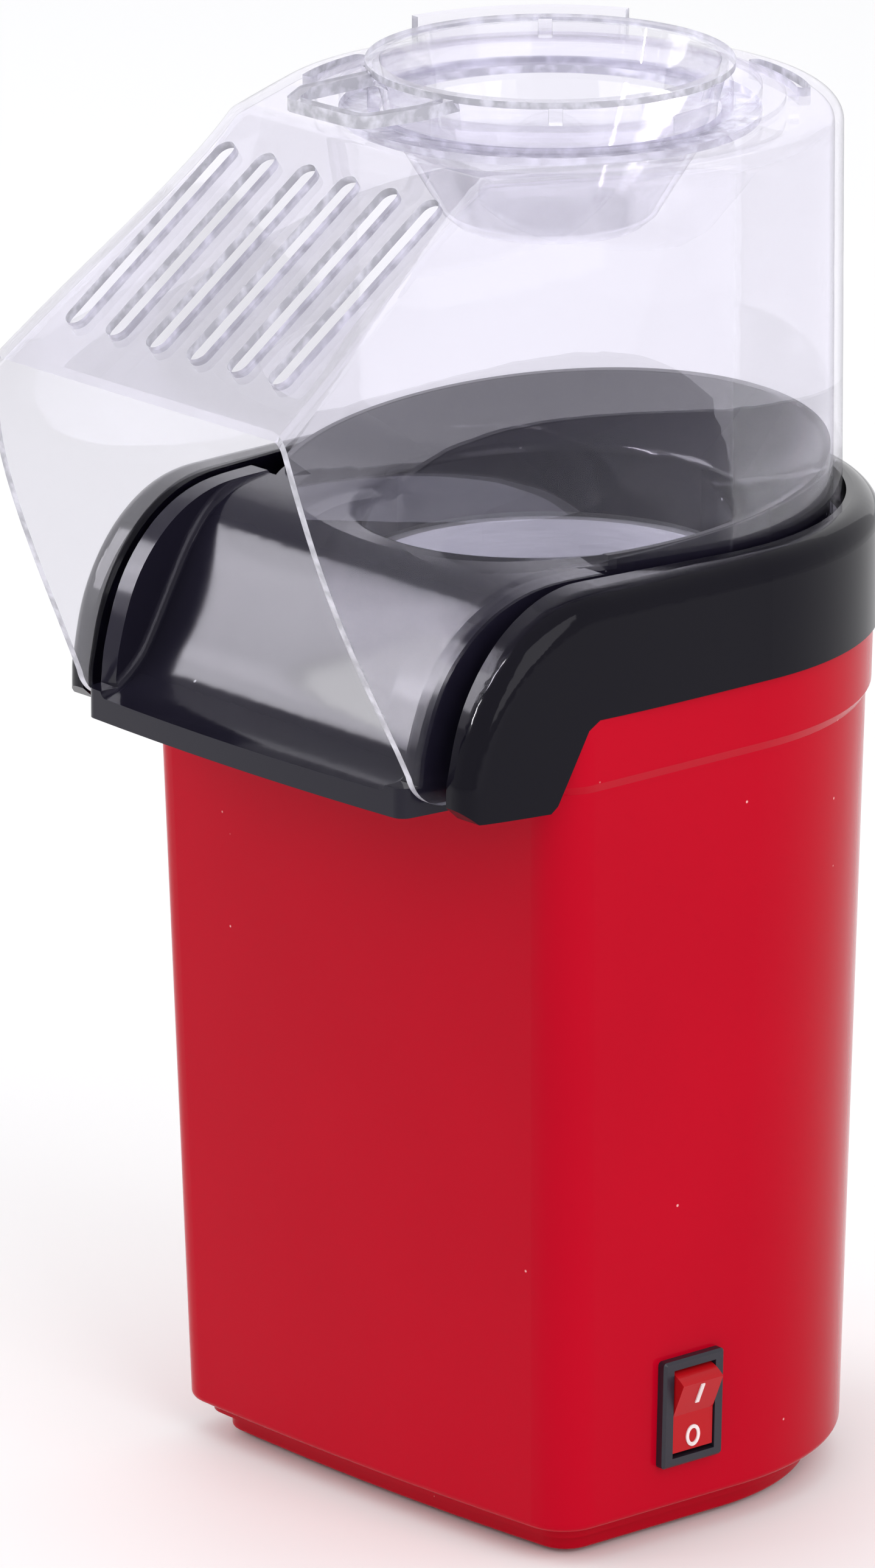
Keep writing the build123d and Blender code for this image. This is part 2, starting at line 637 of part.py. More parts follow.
def rocker_section():
    """The rocker's level cross-section: two facets that meet in a shallow valley."""
    rise = 8.6 * math.tan(math.radians(ROCKER_TILT))
    pts = [(BEZEL_T - 0.3, 0), (BEZEL_T - 0.3 + rise, 8.6), (-7.0, 8.6), (-7.0, -8.6),
           (BEZEL_T - 0.3 + rise, -8.6)]
    disc = Pos(PIVOT_U, 0) * Circle(ROCKER_END_R)
    return make_face(Polyline(pts, close=True)) & disc


def make_rocker_pair():
    """The rocker and its two moulded marks, tilted to the off position."""
    face = Plane.XZ * rocker_section()
    rocker = extrude(face, ROCKER_W / 2, both=True)
    for side in (-1, 1):
        rocker += Pos(PIVOT_U, side * (ROCKER_W / 2 + 0.2), 0) * Rot(90, 0, 0) * Cylinder(PIN_R, 0.9)
    u_face = BEZEL_T - 0.3
    sink = 0.25
    bar = Box(2 * sink, 0.9, 4.4)
    loop = extrude(Ellipse(1.7, 2.1) - Ellipse(1.05, 1.4), sink, both=True)
    tilt = ROCKER_TILT
    mark_i = Pos(u_face, 0, 0) * Rot(0, tilt, 0) * Pos(0, 0, 4.6) * bar
    mark_o = Pos(u_face, 0, 0) * Rot(0, -tilt, 0) * Pos(0, 0, -4.6) * Rot(0, 90, 0) * Rot(0, 0, 90) * loop
    rocker = rocker - mark_i - mark_o
    to_off = switch_place() * Pos(PIVOT_U, 0, 0) * Rot(0, ROCKER_TILT, 0) * Pos(-PIVOT_U, 0, 0)
    marks = [to_off * mark_i, to_off * mark_o]
    return to_off * rocker, group(marks)


def make_switch_terminals():
    """Three push-on blades behind the switch."""
    blades = []
    for v in (-6.5, 0.0, 6.5):
        blade = Pos(-SWITCH_BOX_D - 3.6, 0, v) * Box(7.0, 4.8, 0.8)
        blade -= Pos(-SWITCH_BOX_D - 4.6, 0, v) * Cylinder(0.8, 3)
        blades.append(switch_place() * blade)
    return group(blades)


# ---- cord bush ----------------------------------------------------------------------
def make_cord_bush():
    """Grommet for the mains lead in the back wall, with its hole right through."""
    wall_out = shell_half_width(CORD_Z)
    profile = [(CORD_HOLE_R, -4.5), (BUSH_R, -4.5), (BUSH_R, -3.2), (BUSH_R - 1.05, -2.9),
               (BUSH_R - 1.05, 0.3), (BUSH_R, 0.4), (BUSH_R, 1.2), (CORD_HOLE_R + 1.0, 2.4),
               (CORD_HOLE_R, 2.4)]
    bush = revolved(profile)
    return Pos(0, wall_out, CORD_Z) * Rot(-90, 0, 0) * bush


# ---- popping chamber and heater -----------------------------------------------------
def make_popping_chamber():
    r0, r1 = CHAMBER_R, CHAMBER_R + CHAMBER_T
    z0, z1 = CHAMBER_Z0, CHAMBER_Z1
    profile = [(0, z0), (r1 - 6, z0), (r1, z0 + 6), (r1, z1 - 0.9), (r1 + 4.4, z1 - 0.9),
               (r1 + 4.4, z1), (r0, z1), (r0, z0 + 6.4), (r0 - 5.6, z0 + CHAMBER_T), (0, z0 + CHAMBER_T)]
    can = revolved(profile)
    louvres = None
    for i in range(20):
        slot = Rot(0, 0, i * 18) * Pos(r0, 0, z0 + 13) * Rot(24, 0, 0) * Box(6, 1.6, 9)
        louvres = slot if louvres is None else louvres + slot
    return can - louvres


def make_chamber_gasket():
    return ring(CHAMBER_R + 5.0, HOLE_R + 1.2, CHAMBER_Z1, CHAMBER_Z1 + 1.1)


def make_heater_can():
    can = ring(HEATER_R + 0.6, HEATER_R, HEATER_Z0, HEATER_Z1)
    foot = ring(HEATER_R + 0.6, FAN_R - 3.5, HEATER_Z0 - 0.5, HEATER_Z0 + 0.3)
    return can + foot


MICA_T = 0.6
MICA_Z0 = 86.0
MICA_Z1 = 106.0
COIL_R = 24.0


def make_mica_former():
    """Two crossed mica cards on a small tie plate."""
    card_a = Pos(0, 0, (MICA_Z0 + MICA_Z1) / 2) * Box(76, MICA_T, MICA_Z1 - MICA_Z0)
    card_b = Pos(0, 0, (MICA_Z0 + MICA_Z1) / 2) * Box(MICA_T, 76, MICA_Z1 - MICA_Z0)
    former = card_a + card_b
    for z in coil_levels():
        former -= coil_turn(z, 1.25)
    return former + ring(6, 2, MICA_Z0, MICA_Z0 + 1.2)


def coil_levels():
    return [MICA_Z0 + 5.0 + 5.0 * i for i in range(3)]


def coil_turn(z, r):
    return Pos(0, 0, z) * Torus(COIL_R, r)


def make_heating_coil():
    """Three turns of coiled resistance wire, each drawn as its outer envelope."""
    return group([coil_turn(z, 1.2) for z in coil_levels()])


def make_thermostat():
    x = HEATER_R + 0.7
    body = Pos(x, 0, 132) * Rot(0, 90, 0) * Cylinder(6.0, 4.5, align=(Align.CENTER, Align.CENTER, Align.MIN))
    tab = Pos(x + 0.4, 0, 132) * Box(0.8, 18, 7)
    return Rot(0, 0, 90) * (body + tab)


def make_thermal_fuse():
    barrel = Rot(0, 0, 0) * Cylinder(1.6, 10)
    lead = Cylinder(0.5, 26)
    return Pos(0, -HEATER_R - 0.6 - 1.7, 126) * (barrel + lead)


# ---- fan, motor and rectifier -------------------------------------------------------
def make_fan_housing():
    """Drum around the impeller, with a spoked floor that carries the motor."""
    drum = ring(FAN_R, FAN_R - FAN_T, FAN_Z0 + 0.05, FAN_Z1)
    floor = rod(FAN_R, FAN_Z0 + 0.05, FAN_Z0 + 2.2)
    housing = drum + floor
    for k in range(4):
        vent = ring(33, 17, FAN_Z0 - 1, FAN_Z0 + 4) & wedge(45 + 90 * k + 8, 135 + 90 * k - 8, 34,
                                                            FAN_Z0 - 1, FAN_Z0 + 4)
        housing -= vent
    housing -= rod(4.2, FAN_Z0 - 1, FAN_Z0 + 4)
    for x in (-8.0, 8.0):
        housing -= rod(1.4, FAN_Z0 - 1, FAN_Z0 + 4, x, 0)
    for x, y in PILLAR_XY:
        housing -= rod(1.7, FAN_Z0 - 1, FAN_Z0 + 4, x, y)
    return housing


HUB_R = 9.0
BLADES = 9
FAN_BLADE_Z0 = 63.0
FAN_BLADE_Z1 = 75.0


def make_fan_impeller():
    """Axial fan: a hub pressed on the motor shaft and nine pitched blades."""
    fan = rod(HUB_R, FAN_BLADE_Z0, FAN_BLADE_Z1)
    mid = (FAN_BLADE_Z0 + FAN_BLADE_Z1) / 2
    span = IMPELLER_R - HUB_R + 1.5
    for k in range(BLADES):
        blade = Pos(HUB_R - 1.5 + span / 2, 0, mid) * Rot(48, 0, 0) * Box(span, 1.3, 13.5)
        fan += Rot(0, 0, 360 / BLADES * k) * blade
    fan = fan & rod(IMPELLER_R, FAN_BLADE_Z0, FAN_BLADE_Z1)
    return fan - rod(SHAFT_R, FAN_BLADE_Z0 - 1, FAN_BLADE_Z1 + 1)


def make_motor_can():
    can = rod(MOTOR_R, MOTOR_Z0 + 2.5, MOTOR_Z1)
    can = fillet(can.faces().sort_by(Axis.Z)[-1].edges(), 1.5)
    can -= rod(MOTOR_R - 1.0, MOTOR_Z0 + 1, MOTOR_Z1 - 1.2)
    can += rod(3.1, MOTOR_Z1 - 3, FAN_Z0 + 1.6)
    can -= rod(2.2, MOTOR_Z1 - 5, FAN_Z0 + 3)
    for x in (-8.0, 8.0):
        can -= rod(1.2, MOTOR_Z1 - 3, MOTOR_Z1 + 1, x, 0)
    return can


def make_motor_end_cap():
    cap = rod(MOTOR_R, MOTOR_Z0, MOTOR_Z0 + 2.45)
    cap += rod(3.1, MOTOR_Z0 - 2, MOTOR_Z0 + 1)
    return cap - rod(2.2, MOTOR_Z0 - 3, MOTOR_Z0 + 3)


def make_motor_bushings():
    """Two sintered bearings, a running fit on the shaft."""
    low = ring(2.2, SHAFT_R + 0.04, MOTOR_Z0 - 2, MOTOR_Z0 + 2)
    high = ring(2.2, SHAFT_R + 0.04, MOTOR_Z1 - 4.0, FAN_Z0 + 1.6)
    return group([low, high])


def make_motor_shaft():
    return rod(SHAFT_R, MOTOR_Z0 - 1.5, FAN_BLADE_Z1 + 2.0)


def make_motor_armature():
    """Wound armature on the shaft, with its commutator."""
    core = ring(9.6, SHAFT_R, MOTOR_Z0 + 11, MOTOR_Z1 - 8)
    for k in range(3):
        slot = Rot(0, 0, 120 * k) * slab(5.0, 12, -1.6, 1.6, MOTOR_Z0 + 8, MOTOR_Z1 - 5)
        core -= slot
    return core + ring(3.4, SHAFT_R, MOTOR_Z0 + 4, MOTOR_Z0 + 11)


def make_motor_magnets():
    """Two ring-magnet halves inside the can."""
    sleeve = ring(MOTOR_R - 1.05, 10.2, MOTOR_Z0 + 9, MOTOR_Z1 - 6)
    sleeve -= slab(-20, 20, -2, 2, 0, 100)
    return group([sleeve])


def make_rectifier_board():
    """Small ring board under the motor, with the mains rectifier."""
    board = ring(19.0, 3.6, MOTOR_Z0 - 5.6, MOTOR_Z0 - 4.0)
    return board


def make_rectifier_diodes():
    diodes = []
    for k in range(4):
        a = math.radians(45 + 90 * k)
        body = Pos(12 * math.cos(a), 12 * math.sin(a), MOTOR_Z0 - 5.6 - 1.4) * Rot(0, 0, 45 + 90 * k)
        diodes.append(body * Rot(0, 90, 0) * Cylinder(1.35, 5.2))
    return group(diodes)


def screw(r_shank, r_head, head_h, length):
    """Pan-head screw, head down, its tip at +Z."""
    body = Pos(0, 0, head_h) * extrude(Circle(r_shank), length)
    head = extrude(Circle(r_head), head_h)
    head = fillet(head.faces().sort_by(Axis.Z)[0].edges(), head_h * 0.35)
    cross = Box(r_head * 1.1, 0.6, 0.9) + Box(0.6, r_head * 1.1, 0.9)
    return head + body - cross


def make_housing_screws():
    one = screw(1.25, 2.8, 1.8, 12.0)
    return group([Pos(x, y, LUG_Z0 - 1.85) * one for x, y in LUG_XY])


def make_fan_screws():
    """Four screws down through the fan housing into the base pillars."""
    one = Rot(180, 0, 0) * screw(1.15, 2.6, 1.6, 12.0)
    return group([Pos(x, y, FAN_Z0 + 2.2 + 1.65) * one for x, y in PILLAR_XY])


def make_motor_screws():
    one = Rot(180, 0, 0) * screw(1.15, 2.2, 1.2, 3.0)
    return group([Pos(x, 0, FAN_Z0 + 2.2 + 1.25) * one for x in (-8.0, 8.0)])


# ---- write the nodes ----------------------------------------------------------------
rocker, rocker_marks = make_rocker_pair()
NODES = {
    "body_shell": make_body_shell(),
    "base_plate": make_base_plate(),
    "rubber_feet": make_rubber_feet(),
    "top_housing": make_top_housing(),
    "chute": make_chute(),
    "hood": make_hood(),
    "measuring_cup": make_measuring_cup(),
    "switch_bezel": make_switch_bezel(),
    "switch_rocker": rocker,
    "switch_marks": rocker_marks,
    "switch_terminals": make_switch_terminals(),
    "cord_bush": make_cord_bush(),
    "popping_chamber": make_popping_chamber(),
    "chamber_gasket": make_chamber_gasket(),
    "heater_can": make_heater_can(),
    "mica_former": make_mica_former(),
    "heating_coil": make_heating_coil(),
    "thermostat": make_thermostat(),
    "thermal_fuse": make_thermal_fuse(),
    "fan_housing": make_fan_housing(),
    "fan_impeller": make_fan_impeller(),
    "motor_can": make_motor_can(),
    "motor_end_cap": make_motor_end_cap(),
    "motor_bushings": make_motor_bushings(),
    "motor_shaft": make_motor_shaft(),
    "motor_armature": make_motor_armature(),
    "motor_magnets": make_motor_magnets(),
    "rectifier_board": make_rectifier_board(),
    "rectifier_diodes": make_rectifier_diodes(),
    "housing_screws": make_housing_screws(),
    "fan_screws": make_fan_screws(),
    "motor_screws": make_motor_screws(),
}
for name, shape in NODES.items():
    export_step(shape, f"parts/{name}.step")
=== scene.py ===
import bmesh
import bpy
import math
from mathutils import Matrix, Vector
from mathutils.bvhtree import BVHTree


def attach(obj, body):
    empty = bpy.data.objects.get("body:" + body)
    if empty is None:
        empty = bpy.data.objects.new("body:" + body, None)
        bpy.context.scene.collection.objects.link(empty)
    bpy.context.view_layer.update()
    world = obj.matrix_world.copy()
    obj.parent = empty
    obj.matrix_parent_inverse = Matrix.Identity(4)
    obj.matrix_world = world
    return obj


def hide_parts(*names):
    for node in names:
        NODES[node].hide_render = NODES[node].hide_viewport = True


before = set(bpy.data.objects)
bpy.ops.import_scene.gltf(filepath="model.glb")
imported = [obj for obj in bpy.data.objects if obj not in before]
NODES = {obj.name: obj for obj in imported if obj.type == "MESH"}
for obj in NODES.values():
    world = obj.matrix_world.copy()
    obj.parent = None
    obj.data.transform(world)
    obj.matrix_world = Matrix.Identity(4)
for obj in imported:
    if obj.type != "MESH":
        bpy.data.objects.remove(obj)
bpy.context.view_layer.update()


# ---- material helpers ---------------------------------------------------------------
COOL_GLINT = (0.96, 0.94, 1.0)
CLEAR_IOR = 1.47


def new_material(name):
    mat = bpy.data.materials.new(name)
    mat.use_nodes = True
    return mat, mat.node_tree.nodes, mat.node_tree.links, mat.node_tree.nodes["Principled BSDF"]


def object_coords(nodes):
    return nodes.new("ShaderNodeTexCoord").outputs["Object"]


def noise(nodes, links, coords, scale, detail=3.0, rough=0.5):
    tex = nodes.new("ShaderNodeTexNoise")
    tex.inputs["Scale"].default_value = scale
    tex.inputs["Detail"].default_value = detail
    tex.inputs["Roughness"].default_value = rough
    links.new(coords, tex.inputs["Vector"])
    return tex.outputs["Fac"]


def ramp(nodes, links, fac, stops):
    """A colour ramp from (position, value) or (position, rgb) stops."""
    node = nodes.new("ShaderNodeValToRGB")
    elements = node.color_ramp.elements
    while len(elements) < len(stops):
        elements.new(0.5)
    for element, (pos, value) in zip(elements, stops):
        rgb = value if isinstance(value, tuple) else (value,) * 3
        element.position = pos
        element.color = (*rgb, 1.0)
    links.new(fac, node.inputs["Fac"])
    return node.outputs["Color"]


def bump(nodes, links, height, strength, distance):
    node = nodes.new("ShaderNodeBump")
    node.inputs["Strength"].default_value = strength
    node.inputs["Distance"].default_value = distance
    links.new(height, node.inputs["Height"])
    return node.outputs["Normal"]


def specks(nodes, links, coords, scale, size):
    """1 on sparse small round specks, 0 elsewhere."""
    cells = nodes.new("ShaderNodeTexVoronoi")
    cells.inputs["Scale"].default_value = scale
    links.new(coords, cells.inputs["Vector"])
    return ramp(nodes, links, cells.outputs["Distance"], [(0.0, 1.0), (size * 0.6, 1.0), (size, 0.0)])


def moulded(name, colour, rough, dust=(0.6, 0.6, 0.6), dust_size=0.02, peel=0.04, spec=0.5):
    """Gloss moulded plastic: slight colour drift, faint flow ripple and a few specks of dust."""
    mat, nodes, links, shader = new_material(name)
    coords = object_coords(nodes)
    drift = noise(nodes, links, coords, scale=14.0, detail=2.0)
    dark = tuple(c * 0.93 for c in colour)
    base = ramp(nodes, links, drift, [(0.3, dark), (0.7, colour)])
    mix = nodes.new("ShaderNodeMix")
    mix.data_type = "RGBA"
    links.new(specks(nodes, links, coords, scale=95.0, size=dust_size), mix.inputs["Factor"])
    links.new(base, mix.inputs["A"])
    mix.inputs["B"].default_value = (*dust, 1.0)
    links.new(mix.outputs["Result"], shader.inputs["Base Color"])
    haze = noise(nodes, links, coords, scale=40.0, detail=5.0, rough=0.65)
    gloss = ramp(nodes, links, haze, [(0.3, rough * 0.8), (0.75, rough * 1.35)])
    links.new(gloss, shader.inputs["Roughness"])
    ripple = noise(nodes, links, coords, scale=55.0, detail=2.0)
    links.new(bump(nodes, links, ripple, strength=peel, distance=0.001), shader.inputs["Normal"])
    shader.inputs["Specular IOR Level"].default_value = spec
    shader.inputs["Specular Tint"].default_value = (*COOL_GLINT, 1.0)
    return mat


def clear_plastic(name, tint, rough, cover):
    """Clear moulded plastic: half glass, half a see-through skin that darkens where it is seen
    edge on. Shadow rays pass it, so that lamps reach what is inside."""
    mat, nodes, links, shader = new_material(name)
    shader.inputs["Base Color"].default_value = (*tint, 1.0)
    shader.inputs["Transmission Weight"].default_value = 1.0
    shader.inputs["IOR"].default_value = CLEAR_IOR
    shader.inputs["Alpha"].default_value = cover
    coords = object_coords(nodes)
    haze = noise(nodes, links, coords, scale=30.0, detail=4.0)
    gloss = ramp(nodes, links, haze, [(0.35, rough), (0.8, rough * 2.5)])
    links.new(gloss, shader.inputs["Roughness"])
    ripple = noise(nodes, links, coords, scale=28.0, detail=1.5)
    links.new(bump(nodes, links, ripple, strength=0.05, distance=0.001), shader.inputs["Normal"])
    slant = nodes.new("ShaderNodeLayerWeight")
    slant.inputs["Blend"].default_value = 0.5
    face_on = tuple(0.3 + 0.7 * c for c in tint)
    edge_on = tuple(0.55 * c for c in tint)
    skin = nodes.new("ShaderNodeBsdfTransparent")
    skin_colour = ramp(nodes, links, slant.outputs["Facing"], [(0.80, face_on), (0.97, edge_on)])
    links.new(skin_colour, skin.inputs["Color"])
    body = nodes.new("ShaderNodeMixShader")
    body.inputs["Fac"].default_value = 0.5
    links.new(shader.outputs["BSDF"], body.inputs[1])
    links.new(skin.outputs["BSDF"], body.inputs[2])
    rays = nodes.new("ShaderNodeLightPath")
    shade = nodes.new("ShaderNodeBsdfTransparent")
    shade.inputs["Color"].default_value = (*[c * 0.98 for c in tint], 1.0)
    mix = nodes.new("ShaderNodeMixShader")
    links.new(rays.outputs["Is Shadow Ray"], mix.inputs["Fac"])
    links.new(body.outputs["Shader"], mix.inputs[1])
    links.new(shade.outputs["BSDF"], mix.inputs[2])
    links.new(mix.outputs["Shader"], nodes["Material Output"].inputs["Surface"])
    return mat


def clear_rim(name, colour):
    """The cut edge of clear plastic, painted as the light it gathers: an opaque pale grey with lighter
    streaks of painted highlight.
    """
    mat, nodes, links, shader = new_material(name)
    coords = object_coords(nodes)
    # painted highlight: noise streaks of a lighter grey along the cut edge
    glint_streaks = noise(nodes, links, coords, scale=320.0, detail=3.0)
    light = tuple(min(1.0, c * 1.6) for c in colour)
    base = ramp(nodes, links, glint_streaks, [(0.42, colour), (0.66, light)])
    links.new(base, shader.inputs["Base Color"])
    shader.inputs["Roughness"].default_value = 0.2
    return mat


def metal(name, colour, rough, brushed=0.0, metallic=1.0):
    """Bare metal with a fine grain, drawn out around the upright axis as far as it is brushed."""
    mat, nodes, links, shader = new_material(name)
    shader.inputs["Metallic"].default_value = metallic
    coords = object_coords(nodes)
    stretch = nodes.new("ShaderNodeMapping")
    stretch.inputs["Scale"].default_value = (1.0, 1.0, 1.0 + 20.0 * brushed)
    links.new(coords, stretch.inputs["Vector"])
    grain = noise(nodes, links, stretch.outputs["Vector"], scale=120.0, detail=6.0, rough=0.7)
    dark = tuple(c * 0.85 for c in colour)
    base = ramp(nodes, links, grain, [(0.3, dark), (0.7, colour)])
    links.new(base, shader.inputs["Base Color"])
    gloss = ramp(nodes, links, grain, [(0.3, rough * 0.8), (0.75, rough * 1.4)])
    links.new(gloss, shader.inputs["Roughness"])
    links.new(bump(nodes, links, grain, strength=0.08, distance=0.0005), shader.inputs["Normal"])
    return mat


def matte(name, colour, rough, grain_scale=400.0, strength=0.15):
    """Rubber, ceramic, board or plain moulded plastic with a fine even grain."""
    mat, nodes, links, shader = new_material(name)
    coords = object_coords(nodes)
    grain = noise(nodes, links, coords, scale=grain_scale, detail=4.0, rough=0.6)
    dark = tuple(c * 0.8 for c in colour)
    base = ramp(nodes, links, grain, [(0.3, dark), (0.7, colour)])
    links.new(base, shader.inputs["Base Color"])
    gloss = ramp(nodes, links, grain, [(0.3, rough * 0.9), (0.8, min(1.0, rough * 1.15))])
    links.new(gloss, shader.inputs["Roughness"])
    links.new(bump(nodes, links, grain, strength=strength, distance=0.0003), shader.inputs["Normal"])
    return mat


def paint(node, mat):
    """Give a CAD node its finished material."""
    obj = NODES[node]
    for index in range(max(1, len(obj.material_slots))):
        if index < len(obj.material_slots):
            obj.material_slots[index].material = mat
        else:
            obj.data.materials.append(mat)


# ---- materials ----------------------------------------------------------------------
PINK_DUST = (0.75, 0.35, 0.35)
DULL_PINK_DUST = (0.6, 0.3, 0.3)
GREY_DUST = (0.25, 0.25, 0.28)
PALE_DUST = (0.4, 0.4, 0.42)

red = moulded("red_gloss", (0.44, 0.001, 0.013), 0.16, PINK_DUST, dust_size=0.03, spec=0.05)
red_low = moulded("red_base_gloss", (0.41, 0.001, 0.011), 0.2, DULL_PINK_DUST, spec=0.06)
black = moulded("black_gloss", (0.0025, 0.002, 0.005), 0.08, GREY_DUST, spec=0.14)
deck_black = moulded("deck_gloss", (0.010, 0.009, 0.016), 0.12, PALE_DUST, dust_size=0.035, spec=0.2)
clear_hood = clear_plastic("clear_hood", (0.94, 0.925, 0.985), rough=0.012, cover=0.42)
clear_cup = clear_plastic("clear_cup", (0.96, 0.955, 0.985), rough=0.01, cover=0.8)
# rim: an opaque pale grey painted on the clear parts' cut edges, a painted highlight standing in for
# the light they gather
rim = clear_rim("clear_rim", (0.40, 0.395, 0.44))

# the finish of each CAD node that no copy replaces
PAINT = {
    "body_shell": red,
    "base_plate": red_low,
    "top_housing": black,
    "chute": deck_black,
    "rubber_feet": matte("foot_rubber", (0.02, 0.02, 0.02), 0.75),
    "switch_bezel": matte("bezel_matte", (0.012, 0.012, 0.022), 0.42, grain_scale=900.0, strength=0.1),
    "switch_rocker": moulded("rocker_red", (0.43, 0.005, 0.009), 0.1, spec=0.2),
    "switch_marks": matte("mark_white", (0.85, 0.72, 0.72), 0.5),
    "popping_chamber": metal("spun_aluminium", (0.88, 0.88, 0.92), 0.4, brushed=1.0, metallic=0.6),
    "chamber_gasket": matte("silicone_grey", (0.05, 0.05, 0.055), 0.6),
    "heater_can": metal("zinc_sheet", (0.55, 0.56, 0.58), 0.32),
    "mica_former": matte("mica", (0.42, 0.30, 0.16), 0.4, grain_scale=60.0),
    "heating_coil": metal("resistance_wire", (0.25, 0.22, 0.2), 0.4),
    "thermostat": matte("phenolic", (0.03, 0.022, 0.018), 0.4),
    "thermal_fuse": metal("fuse_metal", (0.7, 0.7, 0.7), 0.25),
    "fan_housing": matte("grey_nylon", (0.04, 0.04, 0.045), 0.45),
    "fan_impeller": matte("white_nylon", (0.62, 0.62, 0.58), 0.4),
    "motor_can": metal("nickel_can", (0.6, 0.6, 0.6), 0.25),
    "motor_end_cap": matte("cap_nylon", (0.65, 0.63, 0.58), 0.45),
    "motor_bushings": metal("bronze", (0.45, 0.28, 0.12), 0.4),
    "motor_shaft": metal("ground_steel", (0.6, 0.6, 0.62), 0.2),
    "motor_armature": metal("copper_winding", (0.5, 0.2, 0.08), 0.35),
    "motor_magnets": matte("ferrite", (0.03, 0.03, 0.035), 0.55),
    "rectifier_board": matte("epoxy_board", (0.02, 0.16, 0.06), 0.35),
    "rectifier_diodes": matte("diode_epoxy", (0.012, 0.012, 0.012), 0.4),
    "switch_terminals": metal("tinned_brass", (0.65, 0.55, 0.3), 0.3),
    "cord_bush": matte("bush_rubber", (0.015, 0.015, 0.015), 0.6),
    "housing_screws": metal("screw_zinc", (0.55, 0.56, 0.58), 0.3),
}
for name, mat in PAINT.items():
    paint(name, mat)
for name in ("fan_screws", "motor_screws"):
    paint(name, PAINT["housing_screws"])


# ---- the clear hood and cup, with painted highlight on their cut edges, apart from their faces ---
MM = 0.001
HOOD_WALL = 1.7 * MM
HOOD_TOP = 264.0 * MM
UNDER_TOP = HOOD_TOP - 1.8 * MM
OVER_TOP = HOOD_TOP + 0.2 * MM
VENT_RING = (45.5 * MM, 50.5 * MM)
FENCE_RING = (40.0 * MM, 43.0 * MM)
CUP_RIM_RADIUS = 33.8 * MM
CUP_RIM_HEIGHT = 270.2 * MM
HANDLE_START = 35.2 * MM
NO_WALL = 1.0


def wall_depth(tree, centre, normal):
    """How thick the wall is behind a face."""
    start = centre - normal * 0.02 * MM
    hit = tree.ray_cast(start, -normal, 50.0 * MM)
    return hit[3] if hit[3] is not None else NO_WALL


def is_hood_edge(centre, normal, depth):
    """True on the mouth, the slots, the skirt's edge, the vents and the fence's two ends."""
    if centre.z < UNDER_TOP:
        return depth > HOOD_WALL * 1.9
    out = Vector((centre.x, centre.y, 0.0))
    upright = abs(normal.z) < 0.4
    vent = VENT_RING[0] < out.length < VENT_RING[1] and centre.z < OVER_TOP
    across = abs(normal.dot(out.normalized())) < 0.3
    fence_end = FENCE_RING[0] < out.length < FENCE_RING[1] and across
    return upright and (vent or fence_end)


def is_cup_edge(centre, normal, depth):
    """True on the outside of the cup's rim and on its handle's sides, however thick they are."""
    out = math.hypot(centre.x, centre.y)
    on_rim = out > CUP_RIM_RADIUS and centre.z > CUP_RIM_HEIGHT
    return abs(normal.z) < 0.5 and (on_rim or out > HANDLE_START)


def clear_piece(node, body, name, skin, is_edge):
    """A copy of a clear part whose cut edges get a material of their own, the rim's painted highlight.
    """
    mesh = NODES[node].data.copy()
    piece = bpy.data.objects.new(name, mesh)
    bpy.context.collection.objects.link(piece)
    piece.matrix_world = NODES[node].matrix_world.copy()
    mesh.materials.clear()
    for mat in (skin, rim):
        mesh.materials.append(mat)
    build = bmesh.new()
    build.from_mesh(mesh)
    tree = BVHTree.FromBMesh(build)
    for face in build.faces:
        centre = face.calc_center_median()
        depth = wall_depth(tree, centre, face.normal)
        # material 1 is the rim's painted highlight, material 0 the clear skin
        face.material_index = 1 if is_edge(centre, face.normal, depth) else 0
    build.to_mesh(mesh)
    build.free()
    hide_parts(node)
    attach(piece, body)


clear_piece("hood", "hood", "clear_hood", clear_hood, is_hood_edge)
clear_piece("measuring_cup", "cup", "clear_cup", clear_cup, is_cup_edge)


# ---- floor, light and camera --------------------------------------------------------
FLOOR_SIZE = 8.0
LIGHT_AIM = (0.0, 0.0, 0.15)


def make_floor():
    bpy.ops.mesh.primitive_plane_add(size=FLOOR_SIZE, location=(0, 0, 0))
    floor = bpy.context.object
    floor.name = "floor"
    mat, nodes, links, shader = new_material("floor_white")
    shader.inputs["Base Color"].default_value = (0.93, 0.93, 0.93, 1.0)
    shader.inputs["Roughness"].default_value = 0.7
    floor.data.materials.append(mat)


def aim(obj, target):
    direction = Vector(target) - obj.location
    obj.rotation_euler = direction.to_track_quat("-Z", "Y").to_euler()


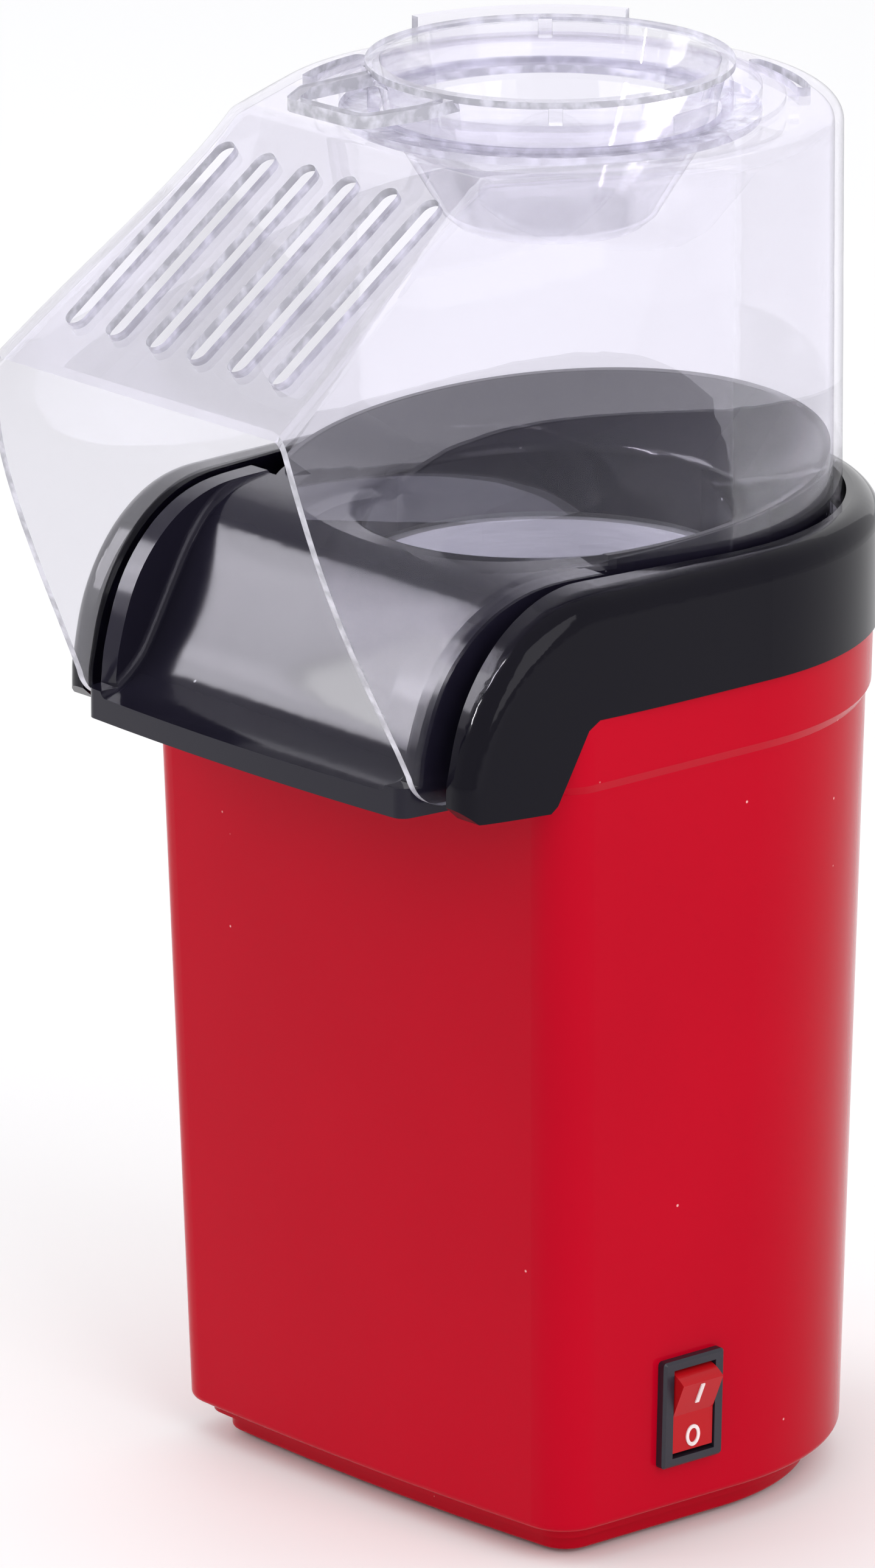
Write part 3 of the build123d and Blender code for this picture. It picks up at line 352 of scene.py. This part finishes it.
def area_light(name, location, size, power, gloss_only=False):
    """A soft panel aimed at the object. A gloss-only one shows in reflections and lights no surface."""
    data = bpy.data.lights.new(name, "AREA")
    data.shape = "RECTANGLE"
    data.size, data.size_y = size
    data.energy = power
    lamp = bpy.data.objects.new(name, data)
    bpy.context.collection.objects.link(lamp)
    lamp.location = location
    aim(lamp, LIGHT_AIM)
    lamp.visible_diffuse = not gloss_only


def make_world():
    world = bpy.data.worlds.new("studio")
    world.use_nodes = True
    bpy.context.scene.world = world
    background = world.node_tree.nodes["Background"]
    background.inputs["Color"].default_value = (0.985, 0.985, 1.0, 1.0)
    background.inputs["Strength"].default_value = 0.92


def make_lights():
    area_light("key_left", (-1.25, -0.95, 0.9), size=(1.1, 0.9), power=6.2)
    area_light("fill_right", (1.3, -0.2, 0.8), size=(1.0, 1.2), power=9.3)
    area_light("chute_card", (-1.2, -0.85, 1.02), size=(0.75, 0.7), power=29.0, gloss_only=True)
    area_light("back_card", (-0.95, 0.85, 0.62), size=(1.6, 1.0), power=3.0, gloss_only=True)
    area_light("edge_strip", (-0.35, -1.1, 0.95), size=(0.03, 0.9), power=24.0, gloss_only=True)


# the viewpoint: a long lens, to the front and right, a little above
CAM_AZ = math.radians(48.79)
CAM_EL = math.radians(16.71)
CAM_DIST = 2.757
CAM_SIDE = -0.02084
CAM_TARGET = Vector((0.0, 0.0, 0.1315))
CAM_LENS = 337.9
CAM_SENSOR = 36.0
CAM_CLIP = 50.0


def make_camera():
    data = bpy.data.cameras.new("camera")
    data.lens = CAM_LENS
    data.sensor_width = CAM_SENSOR
    data.clip_end = CAM_CLIP
    cam = bpy.data.objects.new("camera", data)
    bpy.context.collection.objects.link(cam)
    level = math.cos(CAM_EL)
    back = Vector((math.sin(CAM_AZ) * level, -math.cos(CAM_AZ) * level, math.sin(CAM_EL)))
    right = Vector((math.cos(CAM_AZ), math.sin(CAM_AZ), 0.0))
    up = back.cross(right)
    place = CAM_TARGET + right * CAM_SIDE + back * CAM_DIST
    cam.matrix_world = Matrix((
        (right.x, up.x, back.x, place.x),
        (right.y, up.y, back.y, place.y),
        (right.z, up.z, back.z, place.z),
        (0, 0, 0, 1),
    ))
    bpy.context.scene.camera = cam


make_floor()
make_world()
make_lights()
make_camera()
bpy.context.scene.view_settings.view_transform = "Standard"
